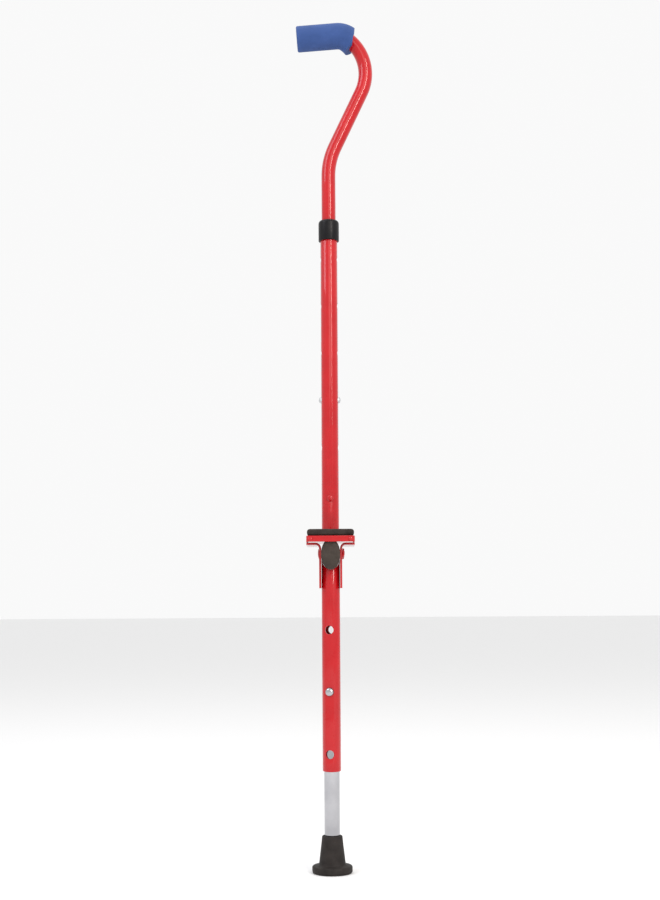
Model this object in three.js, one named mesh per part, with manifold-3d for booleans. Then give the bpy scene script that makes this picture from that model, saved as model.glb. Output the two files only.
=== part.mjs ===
// An adjustable walking stilt: a sprung-button cane handle on a pole, a foot platform on an
// oval cross beam, and a telescoping leg with a rubber tip under the middle of the platform.
// Millimetres, +Z up. The origin is the middle of the tip's sole, on the ground, under the leg.
// +X points away from the grip's closed end, and -Y is the side that the platform faces.
import * as THREE from "three";
import { mergeVertices } from "three/addons/utils/BufferGeometryUtils.js";
import Module from "manifold-3d";

const wasm = await Module();
wasm.setup();

// ---- Driving dimensions ----------------------------------------------------------------

const GAP = 0.3; // kept between two pieces that touch
const ROUND = 24; // facets round a tube
const SMALL_ROUND = 12; // facets round a bolt, rivet, button or small hole

// Tubes
const TUBE_RADIUS = 11.1; // pole and leg sleeve, outside
const TUBE_BORE = 9.75;
const INNER_RADIUS = 9.3; // handle tube and leg tube, outside
const INNER_BORE = 8.1;

// Leg
const TIP_HEIGHT = 43;
const TIP_SOLE_RADIUS = 24;
const TIP_FLOOR = 9.8; // rubber under the leg tube
const LEG_TUBE_BOTTOM = 11.6;
const LEG_TUBE_TOP = 250;
const SLEEVE_BOTTOM = 117.5;
const LEG_HOLE_PITCH = 73.5;
const LEG_BUTTON_Z = 211.5;
const LEG_HOLE_RADIUS = 5.1;
const LEG_BUTTON = { radius: 4.8, flange: 5.4, inner: 4.75, tip: 14.1 };
const LEG_TURN = (-12 * Math.PI) / 180; // the buttons face a little left of straight ahead

// Beam and platform
const BEAM_Z = 374.7;
const BEAM_HALF_WIDTH = 11;
const BEAM_HALF_HEIGHT = 18.2;
const BEAM_WALL = 1.5;
const BEAM_FRONT = -44;
const BEAM_BACK = 88;
const PLUG_FLANGE = 3;
const PLATE_TOP = 396.2;
const PLATE_THICKNESS = 3;
const PLATE_HALF_WIDTH = 29;
const PLATE_FRONT = -50.5;
const PLATE_BACK = 58;
const RIM_BOTTOM = 389.2;
const RIM_THICKNESS = 2.4;
const PAD_TOP = 404.4;
const PAD_HALF_WIDTH = 28;
const SHEET = 2.5; // gusset thickness
const GUSSET_BOTTOM = 335;
const GUSSET_HALF_DEPTH = 30;
const BRACKET_BOLT_YS = { front_bracket: -17, rear_bracket: 17 };
const BRACKET_BOLT_Z = BEAM_Z + 2;
const BRACKET_HOLE_RADIUS = 3.4;
const NUT_HEIGHT = 2.2;
const SCREW_YS = [-33, 42];
const SCREW_HOLE_RADIUS = 2.9;
const RIM_RIVET_X = 23.8;
const RIM_RIVET_Z = 392.2;

// Pole
const POLE_Y = 72; // behind the leg
const POLE_BOTTOM = PLATE_TOP + GAP;
const POLE_TOP = 806;
const SPIGOT_TOP = 462;
const SPIGOT_RIVET_Z = 450;
const SPIGOT_THREAD_TOP = 437;
const POLE_BOLT_RADIUS = 4;
const POLE_BOLT_HOLE_RADIUS = POLE_BOLT_RADIUS + 0.4;
const POLE_HOLE_PITCH = 62;
const HANDLE_BUTTON_Z = 578;
const POLE_HOLE_RADIUS = 4.3;
const HANDLE_BUTTON = { radius: 4, flange: 4.6, inner: 5.2, tip: 14 };
const COLLAR_BOTTOM = 788.6;
const COLLAR_TOP = 816;
const COLLAR_RADIUS = 13.4;

// Handle
const HANDLE_BOTTOM = 540;
const NECK_START = 877; // end of the handle's straight lower run
const NECK_RADIUS = 95;
const NECK_LEAN = 25.2; // degrees from upright
const NECK_LENGTH = 82.5; // straight run between the bends
const SHOULDER_RADIUS = 62;
const SHOULDER_TURN = 75.2;
const CROOK_RADIUS = 22;
const GRIP_SLOPE = 4.5; // degrees that the grip falls towards its closed end
const CROOK_TURN = 40 + GRIP_SLOPE;
const HANDLE_END_X = -37.2;
const GRIP_RADIUS = 17;
const GRIP_END_X = -41.2;
const GRIP_MOUTH_X = 34.4;
const GRIP_MOUTH_LEAN = 8; // degrees that the foam's open end leans

const COLOURS = {
  red: { color: 0xc4161c, roughness: 0.25, metalness: 0.0 },
  steel: { color: 0xb9bcc0, roughness: 0.22, metalness: 1.0 },
  chrome: { color: 0xd0d2d6, roughness: 0.12, metalness: 1.0 },
  rubber: { color: 0x2a2422, roughness: 0.8, metalness: 0.0 },
  plastic: { color: 0x1a1a1c, roughness: 0.45, metalness: 0.0 },
  foam: { color: 0x3b5ba5, roughness: 0.95, metalness: 0.0 },
  nylon: { color: 0xd8d6cf, roughness: 0.5, metalness: 0.0 },
};

// ---- Helpers ---------------------------------------------------------------------------

const radians = THREE.MathUtils.degToRad;

// A closed geometry as a manifold-3d solid.
function toSolid(geometry) {
  const bare = geometry.index ? geometry.toNonIndexed() : geometry.clone();
  bare.deleteAttribute("normal");
  bare.deleteAttribute("uv");
  const merged = mergeVertices(bare, 1e-4);
  const mesh = new wasm.Mesh({
    numProp: 3,
    vertProperties: merged.attributes.position.array,
    triVerts: new Uint32Array(merged.index.array),
  });
  return new wasm.Manifold(mesh);
}

// A manifold-3d solid as a geometry.
function toGeometry(solid) {
  const mesh = solid.getMesh();
  const geometry = new THREE.BufferGeometry();
  geometry.setAttribute("position", new THREE.BufferAttribute(new Float32Array(mesh.vertProperties), 3));
  geometry.setIndex(new THREE.BufferAttribute(new Uint32Array(mesh.triVerts), 1));
  geometry.computeVertexNormals();
  return geometry;
}

// The base with every tool cut out of it.
function cut(base, ...tools) {
  let solid = toSolid(base);
  for (const tool of tools) {
    solid = solid.subtract(toSolid(tool));
  }
  return toGeometry(solid);
}

// All the given geometries joined into one.
function join(...parts) {
  let solid = toSolid(parts[0]);
  for (const part of parts.slice(1)) {
    solid = solid.add(toSolid(part));
  }
  return toGeometry(solid);
}

function common(first, second) {
  return toGeometry(toSolid(first).intersect(toSolid(second)));
}

// A solid turned about +Z. The profile is [radius, z] pairs that run up the outside.
function turned(profile, facets = ROUND) {
  const points = profile.map(([radius, z]) => new THREE.Vector2(radius, z));
  return new THREE.LatheGeometry(points, facets).rotateX(Math.PI / 2);
}

// A rod from one height to another along +Z.
function rod(radius, low, high, facets = ROUND) {
  return turned([[0, low], [radius, low], [radius, high], [0, high]], facets);
}

// A pipe from one height to another along +Z.
function pipe(outer, bore, low, high, facets = ROUND) {
  return turned([[bore, low], [outer, low], [outer, high], [bore, high], [bore, low]], facets);
}

// A rod along X or Y, through the given height, for cross holes and pins.
function crossRod(axis, radius, from, to, z, facets = SMALL_ROUND) {
  const piece = rod(radius, from, to, facets);
  if (axis === "x") piece.rotateY(Math.PI / 2);
  else piece.rotateX(-Math.PI / 2);
  return piece.translate(0, 0, z);
}

// An ellipse's outline in the XZ plane, extruded along +Y from one place to another.
function ellipseBar(halfWidth, halfHeight, from, to) {
  const outline = new THREE.Shape().absellipse(0, 0, halfWidth, halfHeight, 0, 2 * Math.PI);
  const options = { depth: to - from, bevelEnabled: false, curveSegments: 16 };
  const bar = new THREE.ExtrudeGeometry(outline, options);
  return bar.rotateX(Math.PI / 2).translate(0, to, 0);
}

// A flat outline in X and Y, extruded upwards.
function slab(outline, low, high, curveSegments = 3) {
  const options = { depth: high - low, bevelEnabled: false, curveSegments };
  return new THREE.ExtrudeGeometry(outline, options).translate(0, 0, low);
}

// A rectangle's outline with one radius at its front corners and one at its back corners.
function roundedRectangle(left, right, front, back, frontRadius, backRadius) {
  const outline = new THREE.Shape();
  outline.moveTo(left + frontRadius, front);
  outline.lineTo(right - frontRadius, front);
  outline.absarc(right - frontRadius, front + frontRadius, frontRadius, -Math.PI / 2, 0);
  outline.lineTo(right, back - backRadius);
  outline.absarc(right - backRadius, back - backRadius, backRadius, 0, Math.PI / 2);
  outline.lineTo(left + backRadius, back);
  outline.absarc(left + backRadius, back - backRadius, backRadius, Math.PI / 2, Math.PI);
  outline.lineTo(left, front + frontRadius);
  outline.absarc(left + frontRadius, front + frontRadius, frontRadius, Math.PI, 1.5 * Math.PI);
  return outline;
}

// A path through stations, close together round the bends and far apart on the straights.
class StationPath extends THREE.Curve {
  constructor(stations) {
    super();
    this.stations = stations;
  }
  getPoint(t, target = new THREE.Vector3()) {
    const last = this.stations.length - 1;
    const index = Math.min(Math.round(t * last), last);
    return target.copy(this.stations[index].point);
  }
  getTangent(t, target = new THREE.Vector3()) {
    const last = this.stations.length - 1;
    const index = Math.min(Math.round(t * last), last);
    return target.copy(this.stations[index].tangent);
  }
  getUtoTmapping(u) {
    return u;
  }
}

// Stations along runs in the XZ plane. A run is a straight length or a bend, which turns
// towards +X where its turn is positive.
function stationsAlong(x, z, headingDegrees, runs) {
  let heading = radians(headingDegrees);
  const stations = [];
  const note = () => stations.push({
    point: new THREE.Vector3(x, 0, z),
    tangent: new THREE.Vector3(Math.sin(heading), 0, Math.cos(heading)),
  });
  note();
  for (const run of runs) {
    const steps = run.steps ?? 1;
    const turn = radians(run.turn ?? 0) / steps;
    const chord = run.turn ? 2 * run.radius * Math.sin(Math.abs(turn) / 2) : run.length / steps;
    for (let step = 0; step < steps; step += 1) {
      heading += turn / 2;
      x += chord * Math.sin(heading);
      z += chord * Math.cos(heading);
      heading += turn / 2;
      note();
    }
  }
  return stations;
}

// A round section swept along stations, with a bore where one is given.
function sweptTube(stations, radius, bore = 0, facets = ROUND) {
  const section = new THREE.Shape().absarc(0, 0, radius, 0, 2 * Math.PI);
  if (bore > 0) section.holes.push(new THREE.Path().absarc(0, 0, bore, 0, 2 * Math.PI, true));
  return new THREE.ExtrudeGeometry(section, {
    steps: stations.length - 1,
    extrudePath: new StationPath(stations),
    curveSegments: facets / 2,
  });
}

function piece(name, geometry, look) {
  const mesh = new THREE.Mesh(geometry, new THREE.MeshStandardMaterial(COLOURS[look]));
  mesh.name = name;
  return mesh;
}

// ---- Shared hardware -------------------------------------------------------------------

// A spring button that points along +Z: a retaining flange inside the tube, a stem through
// the holes, and a domed end.
function springButton({ radius, flange, inner, tip }) {
  const flangeTop = inner + 0.7;
  const domeHeight = 1.8;
  const profile = [[0, inner], [flange, inner], [flange, flangeTop], [radius, flangeTop]];
  const domeSteps = 4;
  for (let step = 0; step <= domeSteps; step += 1) {
    const angle = (step / domeSteps) * (Math.PI / 2);
    profile.push([radius * Math.cos(angle), tip - domeHeight + domeHeight * Math.sin(angle)]);
  }
  profile[profile.length - 1][0] = 0;
  return turned(profile, 16);
}

// A leaf spring bent into a V, its arms up, centred on the button's height. It lies in the
// XZ plane and is as wide as given along Y.
function snapSpring(armTop, above, below, width) {
  const thickness = 0.6;
  const bend = 2.4;
  const outline = new THREE.Shape();
  outline.moveTo(armTop, above);
  outline.lineTo(armTop - thickness, above);
  outline.lineTo(bend - thickness, -below + bend);
  outline.absarc(0, -below + bend, bend - thickness, 0, Math.PI, true);
  outline.lineTo(thickness - armTop, above);
  outline.lineTo(-armTop, above);
  outline.lineTo(-bend, -below + bend);
  outline.absarc(0, -below + bend, bend, Math.PI, 2 * Math.PI, false);
  const options = { depth: width, bevelEnabled: false, curveSegments: 8 };
  const strip = new THREE.ExtrudeGeometry(outline, options);
  return strip.rotateX(Math.PI / 2).translate(0, width / 2, 0);
}

// ---- Leg -------------------------------------------------------------------------------

function rubberTip() {
  const rounding = 2.5;
  const profile = [
    [0, 0],
    [6, 0],
    [7, 1.8],
    [10, 1.8],
    [11, 0],
    [14, 0],
    [15, 1.8],
    [18, 1.8],
    [19, 0],
    [TIP_SOLE_RADIUS - rounding, 0],
    [TIP_SOLE_RADIUS - 0.7, 0.7],
    [TIP_SOLE_RADIUS, rounding],
    [TIP_SOLE_RADIUS - 0.4, 6.6],
    [TIP_SOLE_RADIUS - 2.6, 8.4],
    [18.6, 9.6],
    [16.4, 11.4],
    [15.4, 15],
    [13, 33],
    [12.5, TIP_HEIGHT - 1.5],
    [11.6, TIP_HEIGHT],
    [INNER_RADIUS + GAP, TIP_HEIGHT],
    [INNER_RADIUS + GAP, TIP_FLOOR],
    [0, TIP_FLOOR],
  ];
  return turned(profile, 28);
}

function legGroup() {
  const group = new THREE.Group();
  group.add(piece("rubber_tip", rubberTip(), "rubber"));

  const washer = piece("tip_washer", pipe(INNER_RADIUS, 3, 0, 1.5), "steel");
  washer.position.z = TIP_FLOOR + GAP / 2;
  group.add(washer);

  const buttonHeight = LEG_BUTTON_Z - LEG_TUBE_BOTTOM;
  const tube = cut(
    pipe(INNER_RADIUS, INNER_BORE, 0, LEG_TUBE_TOP - LEG_TUBE_BOTTOM),
    crossRod("y", LEG_HOLE_RADIUS, -20, 20, buttonHeight),
  );
  const legTube = piece("leg_tube", tube, "chrome");
  legTube.position.z = LEG_TUBE_BOTTOM;
  legTube.rotation.z = LEG_TURN;
  group.add(legTube);

  const stopperRadius = INNER_BORE - GAP;
  const stopper = [[0, -12], [stopperRadius - 0.8, -12], [stopperRadius, -10], [stopperRadius, GAP]];
  stopper.push([INNER_RADIUS, GAP], [INNER_RADIUS, 1.6], [INNER_RADIUS - 0.6, 2.2], [0, 2.2]);
  const bushing = piece("leg_guide_bushing", turned(stopper), "nylon");
  bushing.position.z = LEG_TUBE_TOP;
  group.add(bushing);

  const spring = piece("leg_snap_spring", snapSpring(LEG_BUTTON.inner - GAP, 6, 48, 6), "steel");
  spring.position.z = LEG_BUTTON_Z;
  spring.rotation.z = Math.PI / 2 + LEG_TURN;
  group.add(spring);

  const sides = { leg_button_front: 1, leg_button_back: -1 };
  for (const [name, side] of Object.entries(sides)) {
    const button = piece(name, springButton(LEG_BUTTON), "chrome");
    button.position.z = LEG_BUTTON_Z;
    button.rotation.set((side * Math.PI) / 2, side * LEG_TURN, 0);
    group.add(button);
  }
  return group;
}

// ---- Sleeve, beam and platform ---------------------------------------------------------

function legSleeve() {
  const holes = [-1, 0, 1].map((place) => (
    crossRod("y", LEG_HOLE_RADIUS, -20, 20, LEG_BUTTON_Z + place * LEG_HOLE_PITCH).rotateZ(LEG_TURN)
  ));
  const saddle = ellipseBar(BEAM_HALF_WIDTH + GAP, BEAM_HALF_HEIGHT + GAP, -30, 30);
  const sleeve = pipe(TUBE_RADIUS, TUBE_BORE, SLEEVE_BOTTOM, BEAM_Z - 4);
  return cut(sleeve, ...holes, saddle.translate(0, 0, BEAM_Z));
}

function footBeam() {
  const tools = [
    ellipseBar(BEAM_HALF_WIDTH - BEAM_WALL, BEAM_HALF_HEIGHT - BEAM_WALL, BEAM_FRONT - 1, BEAM_BACK + 1),
  ];
  for (const y of Object.values(BRACKET_BOLT_YS)) {
    tools.push(crossRod("x", BRACKET_HOLE_RADIUS, -20, 20, BRACKET_BOLT_Z - BEAM_Z).translate(0, y, 0));
  }
  for (const y of SCREW_YS) {
    tools.push(rod(SCREW_HOLE_RADIUS, 0, 30, SMALL_ROUND).translate(0, y, 0));
  }
  tools.push(rod(POLE_BOLT_HOLE_RADIUS, -30, 30, SMALL_ROUND).translate(0, POLE_Y, 0));
  return cut(ellipseBar(BEAM_HALF_WIDTH, BEAM_HALF_HEIGHT, BEAM_FRONT, BEAM_BACK), ...tools);
}

// A beam plug that points along -Y: a domed flange over the tube's end and a hollow spigot.
function beamPlug() {
  const inset = BEAM_WALL + 0.35;
  const wall = 1.6;
  const depth = 7;
  const flange = ellipseBar(BEAM_HALF_WIDTH + 0.5, BEAM_HALF_HEIGHT, -PLUG_FLANGE, -GAP);
  const spigot = ellipseBar(BEAM_HALF_WIDTH - inset, BEAM_HALF_HEIGHT - inset, -1, depth);
  const hollow = ellipseBar(BEAM_HALF_WIDTH - inset - wall, BEAM_HALF_HEIGHT - inset - wall, 1, depth + 1);
  return cut(join(flange, spigot), hollow);
}

// The gusset on the +X side: an angle hugging beam and sleeve, its flange under the plate.
function gusset() {
  const inner = TUBE_RADIUS + GAP;
  const outer = inner + SHEET;
  const bend = 4; // inside radius of the bend
  const flangeTop = RIM_BOTTOM - GAP;
  const flangeBottom = flangeTop - SHEET;
  const section = new THREE.Shape();
  section.moveTo(inner, GUSSET_BOTTOM);
  section.lineTo(outer, GUSSET_BOTTOM);
  section.lineTo(outer, flangeBottom - bend);
  section.absarc(outer + bend, flangeBottom - bend, bend, Math.PI, Math.PI / 2, true);
  section.lineTo(PLATE_HALF_WIDTH, flangeBottom);
  section.lineTo(PLATE_HALF_WIDTH, flangeTop);
  section.lineTo(outer + bend, flangeTop);
  section.absarc(outer + bend, flangeBottom - bend, bend + SHEET, Math.PI / 2, Math.PI, false);
  const length = 2 * GUSSET_HALF_DEPTH;
  const bar = new THREE.ExtrudeGeometry(section, { depth: length, bevelEnabled: false, curveSegments: 8 });
  bar.rotateX(Math.PI / 2).translate(0, GUSSET_HALF_DEPTH, 0);

  const side = new THREE.Shape();
  const foot = TUBE_RADIUS + 1;
  const shoulder = GUSSET_HALF_DEPTH - 1;
  side.moveTo(-foot, GUSSET_BOTTOM - 1);
  side.lineTo(foot, GUSSET_BOTTOM - 1);
  side.lineTo(foot + 2, GUSSET_BOTTOM + 15);
  side.quadraticCurveTo(foot + 4, BEAM_Z - 6, shoulder, flangeBottom - 6);
  side.lineTo(shoulder + 2, flangeTop + 1);
  side.lineTo(-shoulder - 2, flangeTop + 1);
  side.lineTo(-shoulder, flangeBottom - 6);
  side.quadraticCurveTo(-foot - 4, BEAM_Z - 6, -foot - 2, GUSSET_BOTTOM + 15);
  const options = { depth: 60, bevelEnabled: false, curveSegments: 8 };
  const blank = new THREE.ExtrudeGeometry(side, options);
  blank.rotateX(Math.PI / 2).rotateZ(Math.PI / 2);
  const holes = Object.values(BRACKET_BOLT_YS).map((y) => (
    crossRod("x", BRACKET_HOLE_RADIUS, 0, 40, BRACKET_BOLT_Z).translate(0, y, 0)
  ));
  return cut(common(bar, blank), ...holes);
}

function platformPlate() {
  const low = PLATE_TOP - PLATE_THICKNESS;
  const deck = roundedRectangle(-PLATE_HALF_WIDTH, PLATE_HALF_WIDTH, PLATE_FRONT, PLATE_BACK, 5, 8);
  const tongue = roundedRectangle(-17, 17, 0, BEAM_BACK + PLUG_FLANGE, 2, 12);
  const skirtOutside = roundedRectangle(-PLATE_HALF_WIDTH, PLATE_HALF_WIDTH, PLATE_FRONT, PLATE_BACK, 5, 8);
  const inset = RIM_THICKNESS;
  const skirtInside = roundedRectangle(
    -PLATE_HALF_WIDTH + inset, PLATE_HALF_WIDTH - inset, PLATE_FRONT + inset, PLATE_BACK + 20, 3, 3,
  );
  const skirt = cut(
    slab(skirtOutside, RIM_BOTTOM, PLATE_TOP),
    slab(skirtInside, RIM_BOTTOM - 1, PLATE_TOP + 1),
    slab(roundedRectangle(-40, 40, PLATE_BACK - 12, PLATE_BACK + 20, 1, 1), RIM_BOTTOM - 1, low),
  );
  const sheet = join(slab(deck, low, PLATE_TOP), slab(tongue, low, PLATE_TOP), skirt);
  const sinkRadius = 5.6;
  const sink = [[0, low - 1], [SCREW_HOLE_RADIUS, low - 1], [SCREW_HOLE_RADIUS, low + 0.6]];
  sink.push([sinkRadius, PLATE_TOP + GAP], [sinkRadius, PLATE_TOP + 2], [0, PLATE_TOP + 2]);
  const holes = SCREW_YS.map((y) => turned(sink, SMALL_ROUND).translate(0, y, 0));
  holes.push(rod(POLE_BOLT_HOLE_RADIUS, low - 1, PLATE_TOP + 1, SMALL_ROUND).translate(0, POLE_Y, 0));
  for (const side of [-1, 1]) {
    const hole = crossRod("y", 1.7, PLATE_FRONT - 2, PLATE_FRONT + 4, RIM_RIVET_Z);
    holes.push(hole.translate(side * RIM_RIVET_X, 0, 0));
  }
  return cut(sheet, ...holes);
}

// The rubber pad, its upper edges rounded in steps.
function platformPad() {
  const low = PLATE_TOP + GAP;
  const front = PLATE_FRONT + 1;
  const back = PLATE_BACK - 1;
  const layers = [
    [0, low, PAD_TOP - 3.2],
    [0.6, PAD_TOP - 3.3, PAD_TOP - 1.6],
    [1.6, PAD_TOP - 1.7, PAD_TOP - 0.6],
    [3.2, PAD_TOP - 0.7, PAD_TOP],
  ].map(([inset, from, to]) => slab(
    roundedRectangle(
      -PAD_HALF_WIDTH + inset, PAD_HALF_WIDTH - inset, front + inset, back - inset, 5, 7,
    ), from, to,
  ));
  return join(...layers);
}

// A countersunk screw that holds the plate to the beam's upper wall, its head at z = 0.
function platformScrew() {
  return turned([[0, -12], [2, -12], [2.5, -11], [2.5, -2.4], [4.8, -0.2], [4.8, 0], [0, 0]], SMALL_ROUND);
}

// A cross bolt along X: a low round head on the -X side and a hexagon nut on the +X side.
function bracketBolt() {
  const face = TUBE_RADIUS + SHEET + 2 * GAP;
  const profile = [[0, -face - 1.3], [3.2, -face - 1.1], [5, -face - 0.6], [5.5, -face]];
  profile.push([3, -face], [3, face + NUT_HEIGHT], [2.4, face + NUT_HEIGHT + 0.5]);
  profile.push([0, face + NUT_HEIGHT + 0.5]);
  return turned(profile, SMALL_ROUND).rotateY(Math.PI / 2);
}

function bracketNut() {
  const face = TUBE_RADIUS + SHEET + 2 * GAP;
  const nut = cut(rod(5.77, face, face + NUT_HEIGHT, 6), rod(3.35, face - 1, face + 6, SMALL_ROUND));
  return nut.rotateY(Math.PI / 2);
}

// A small round-head rivet through the plate's front rim, its head towards -Y.
function rimRivet() {
  const face = GAP - PLATE_FRONT;
  const profile = [[0, face - 2.8], [1.4, face - 2.8], [1.4, face], [2.6, face]];
  profile.push([2.2, face + 0.5], [1.2, face + 1], [0, face + 1.2]);
  return turned(profile, SMALL_ROUND).rotateX(Math.PI / 2);
}

function frameGroup() {
  const group = new THREE.Group();
  group.add(piece("leg_sleeve", legSleeve(), "red"));

  const beam = piece("foot_beam", footBeam(), "red");
  beam.position.z = BEAM_Z;
  group.add(beam);

  const frontPlug = piece("beam_front_plug", beamPlug(), "rubber");
  frontPlug.position.set(0, BEAM_FRONT, BEAM_Z);
  group.add(frontPlug);
  const rearPlug = piece("beam_rear_plug", beamPlug(), "rubber");
  rearPlug.position.set(0, BEAM_BACK, BEAM_Z);
  rearPlug.rotation.z = Math.PI;
  group.add(rearPlug);

  group.add(piece("right_gusset", gusset(), "red"));
  const mirrored = gusset().scale(-1, 1, 1);
  mirrored.index.array.reverse();
  mirrored.computeVertexNormals();
  group.add(piece("left_gusset", mirrored, "red"));

  group.add(piece("platform_plate", platformPlate(), "red"));
  group.add(piece("platform_pad", platformPad(), "rubber"));

  for (const [name, y] of Object.entries(BRACKET_BOLT_YS)) {
    const bolt = piece(`${name}_bolt`, bracketBolt(), "red");
    bolt.position.set(0, y, BRACKET_BOLT_Z);
    group.add(bolt);
    const nut = piece(`${name}_nut`, bracketNut(), "red");
    nut.position.set(0, y, BRACKET_BOLT_Z);
    group.add(nut);
  }

  const screwNames = ["front_platform_screw", "rear_platform_screw"];
  SCREW_YS.forEach((y, index) => {
    const screw = piece(screwNames[index], platformScrew(), "steel");
    screw.position.set(0, y, PLATE_TOP);
    group.add(screw);
  });

  const rivetSides = { left_rim_rivet: -1, right_rim_rivet: 1 };
  for (const [name, side] of Object.entries(rivetSides)) {
    const rivet = piece(name, rimRivet(), "red");
    rivet.position.set(side * RIM_RIVET_X, 0, RIM_RIVET_Z);
    group.add(rivet);
  }
  return group;
}

// ---- Pole ------------------------------------------------------------------------------

function poleTube() {
  const holes = [-1, 0, 1, 2, 3].map((place) => (
    crossRod("x", POLE_HOLE_RADIUS, -20, 20, HANDLE_BUTTON_Z + place * POLE_HOLE_PITCH)
  ));
  holes.push(crossRod("y", 3, -20, 20, SPIGOT_RIVET_Z));
  return cut(pipe(TUBE_RADIUS, TUBE_BORE, POLE_BOTTOM, POLE_TOP), ...holes);
}

// The steel spigot inside the pole's foot, with a threaded blind hole for the pole bolt.
function poleSpigot() {
  const radius = TUBE_BORE - GAP;
  const body = turned([[0, POLE_BOTTOM], [radius, POLE_BOTTOM], [radius, SPIGOT_TOP - 2],
    [radius - 2, SPIGOT_TOP], [0, SPIGOT_TOP]]);
  const thread = rod(POLE_BOLT_RADIUS + GAP, POLE_BOTTOM - 1, SPIGOT_THREAD_TOP, SMALL_ROUND);
  return cut(body, thread, crossRod("y", 3, -20, 20, SPIGOT_RIVET_Z));
}

function spigotRivet() {
  const face = TUBE_RADIUS + GAP;
  const profile = [[0, -face - 1.6], [2, -face - 1.3], [3.6, -face - 0.6], [4.2, -face], [2.7, -face]];
  profile.push([2.7, face], [4.2, face], [3.6, face + 0.6], [2, face + 1.3], [0, face + 1.6]);
  return turned(profile, SMALL_ROUND).rotateX(-Math.PI / 2);
}

// The pole bolt: a hexagon head under the beam, its shank up into the spigot.
function poleBolt() {
  const head = rod(7.5, -5.5, 0, 6);
  const shank = rod(POLE_BOLT_RADIUS, -1, 74, SMALL_ROUND);
  return join(head, shank);
}

// A plastic ring with a slot, squeezed on the handle tube by the collar's cone.
function splitBushing() {
  const bore = INNER_RADIUS + 0.35;
  const ring = turned([[bore, POLE_TOP + GAP], [11.1, POLE_TOP + GAP], [11.1, POLE_TOP + 2.4],
    [10.5, POLE_TOP + 6.4], [bore, POLE_TOP + 6.4], [bore, POLE_TOP + GAP]]);
  const slot = new THREE.BoxGeometry(14, 1.6, 20).translate(-10, 0, POLE_TOP);
  return cut(ring, slot);
}

// The lock collar: a sleeve over the pole's top that narrows to a cone and a lip.
function lockCollar() {
  const sleeveBore = TUBE_RADIUS + GAP;
  const lipBore = INNER_RADIUS + 0.4;
  return turned([
    [sleeveBore, COLLAR_BOTTOM],
    [COLLAR_RADIUS - 0.5, COLLAR_BOTTOM],
    [COLLAR_RADIUS, COLLAR_BOTTOM + 0.6],
    [COLLAR_RADIUS, COLLAR_TOP - 4],
    [COLLAR_RADIUS - 0.6, COLLAR_TOP - 1.8],
    [COLLAR_RADIUS - 2.2, COLLAR_TOP],
    [lipBore, COLLAR_TOP],
    [lipBore, COLLAR_TOP - 3],
    [10.8, COLLAR_TOP - 3.2],
    [sleeveBore, COLLAR_TOP - 7.4],
    [sleeveBore, COLLAR_BOTTOM],
  ], 28);
}

function poleGroup() {
  const group = new THREE.Group();
  group.position.y = POLE_Y;
  group.add(piece("pole_tube", poleTube(), "red"));
  group.add(piece("pole_spigot", poleSpigot(), "steel"));

  const rivet = piece("spigot_rivet", spigotRivet(), "red");
  rivet.position.z = SPIGOT_RIVET_Z;
  group.add(rivet);

  const bolt = piece("pole_bolt", poleBolt(), "steel");
  bolt.position.z = BEAM_Z - BEAM_HALF_HEIGHT - GAP;
  group.add(bolt);

  const spacerRadius = 6;
  const reach = Math.sqrt(1 - (spacerRadius / (BEAM_HALF_WIDTH - BEAM_WALL)) ** 2);
  const spacerEnd = (BEAM_HALF_HEIGHT - BEAM_WALL) * reach - GAP;
  const tube = pipe(spacerRadius, POLE_BOLT_HOLE_RADIUS, -spacerEnd, spacerEnd);
  const spacer = piece("beam_spacer", tube, "steel");
  spacer.position.z = BEAM_Z;
  group.add(spacer);

  group.add(piece("split_bushing", splitBushing(), "nylon"));
  group.add(piece("lock_collar", lockCollar(), "plastic"));
  return group;
}

// ---- Handle ----------------------------------------------------------------------------

// The handle tube's runs, from its foot to its end inside the grip.
function handleStations() {
  const toCrook = [
    { length: NECK_START - HANDLE_BOTTOM },
    { radius: NECK_RADIUS, turn: NECK_LEAN, steps: 6 },
    { length: NECK_LENGTH },
    { radius: SHOULDER_RADIUS, turn: -SHOULDER_TURN, steps: 13 },
    { radius: CROOK_RADIUS, turn: -CROOK_TURN, steps: 8 },
  ];
  const reach = stationsAlong(0, HANDLE_BOTTOM, 0, toCrook).at(-1).point;
  const lastRun = { length: (reach.x - HANDLE_END_X) / Math.cos(radians(GRIP_SLOPE)) };
  return stationsAlong(0, HANDLE_BOTTOM, 0, [...toCrook, lastRun]);
}

const handleRoute = handleStations();
const handleEnd = handleRoute.at(-1);
const crownHeight = Math.max(...handleRoute.map(({ point }) => point.z));

function handleTube() {
  const hole = crossRod("x", POLE_HOLE_RADIUS, -20, 20, HANDLE_BUTTON_Z);
  return cut(sweptTube(handleRoute, INNER_RADIUS, INNER_BORE), hole);
}

// The foam, swept along the tube's last runs, closed at its end and cut off at its mouth.
function foamGrip() {
  const endAt = (x) => ({
    point: handleEnd.point.clone().addScaledVector(handleEnd.tangent, HANDLE_END_X - x),
    tangent: handleEnd.tangent,
  });
  const blank = sweptTube([...handleRoute.slice(-12, -1), endAt(GRIP_END_X)], GRIP_RADIUS);
  const bore = sweptTube([...handleRoute.slice(-14, -1), endAt(HANDLE_END_X - 2)], INNER_RADIUS + GAP);
  const trim = new THREE.BoxGeometry(60, 80, 120);
  trim.translate(30, 0, 0);
  trim.rotateY(radians(GRIP_MOUTH_LEAN));
  trim.translate(GRIP_MOUTH_X, 0, crownHeight - 3);
  return cut(blank, bore, trim);
}

function handleEndPlug() {
  const radius = INNER_BORE - GAP;
  const profile = [[0, -1.6], [INNER_RADIUS - 0.8, -1.6], [INNER_RADIUS, -0.9], [INNER_RADIUS, -GAP]];
  profile.push([radius, -GAP], [radius, 9], [radius - 0.8, 11], [0, 11]);
  return turned(profile).rotateY(Math.PI / 2);
}

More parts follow.
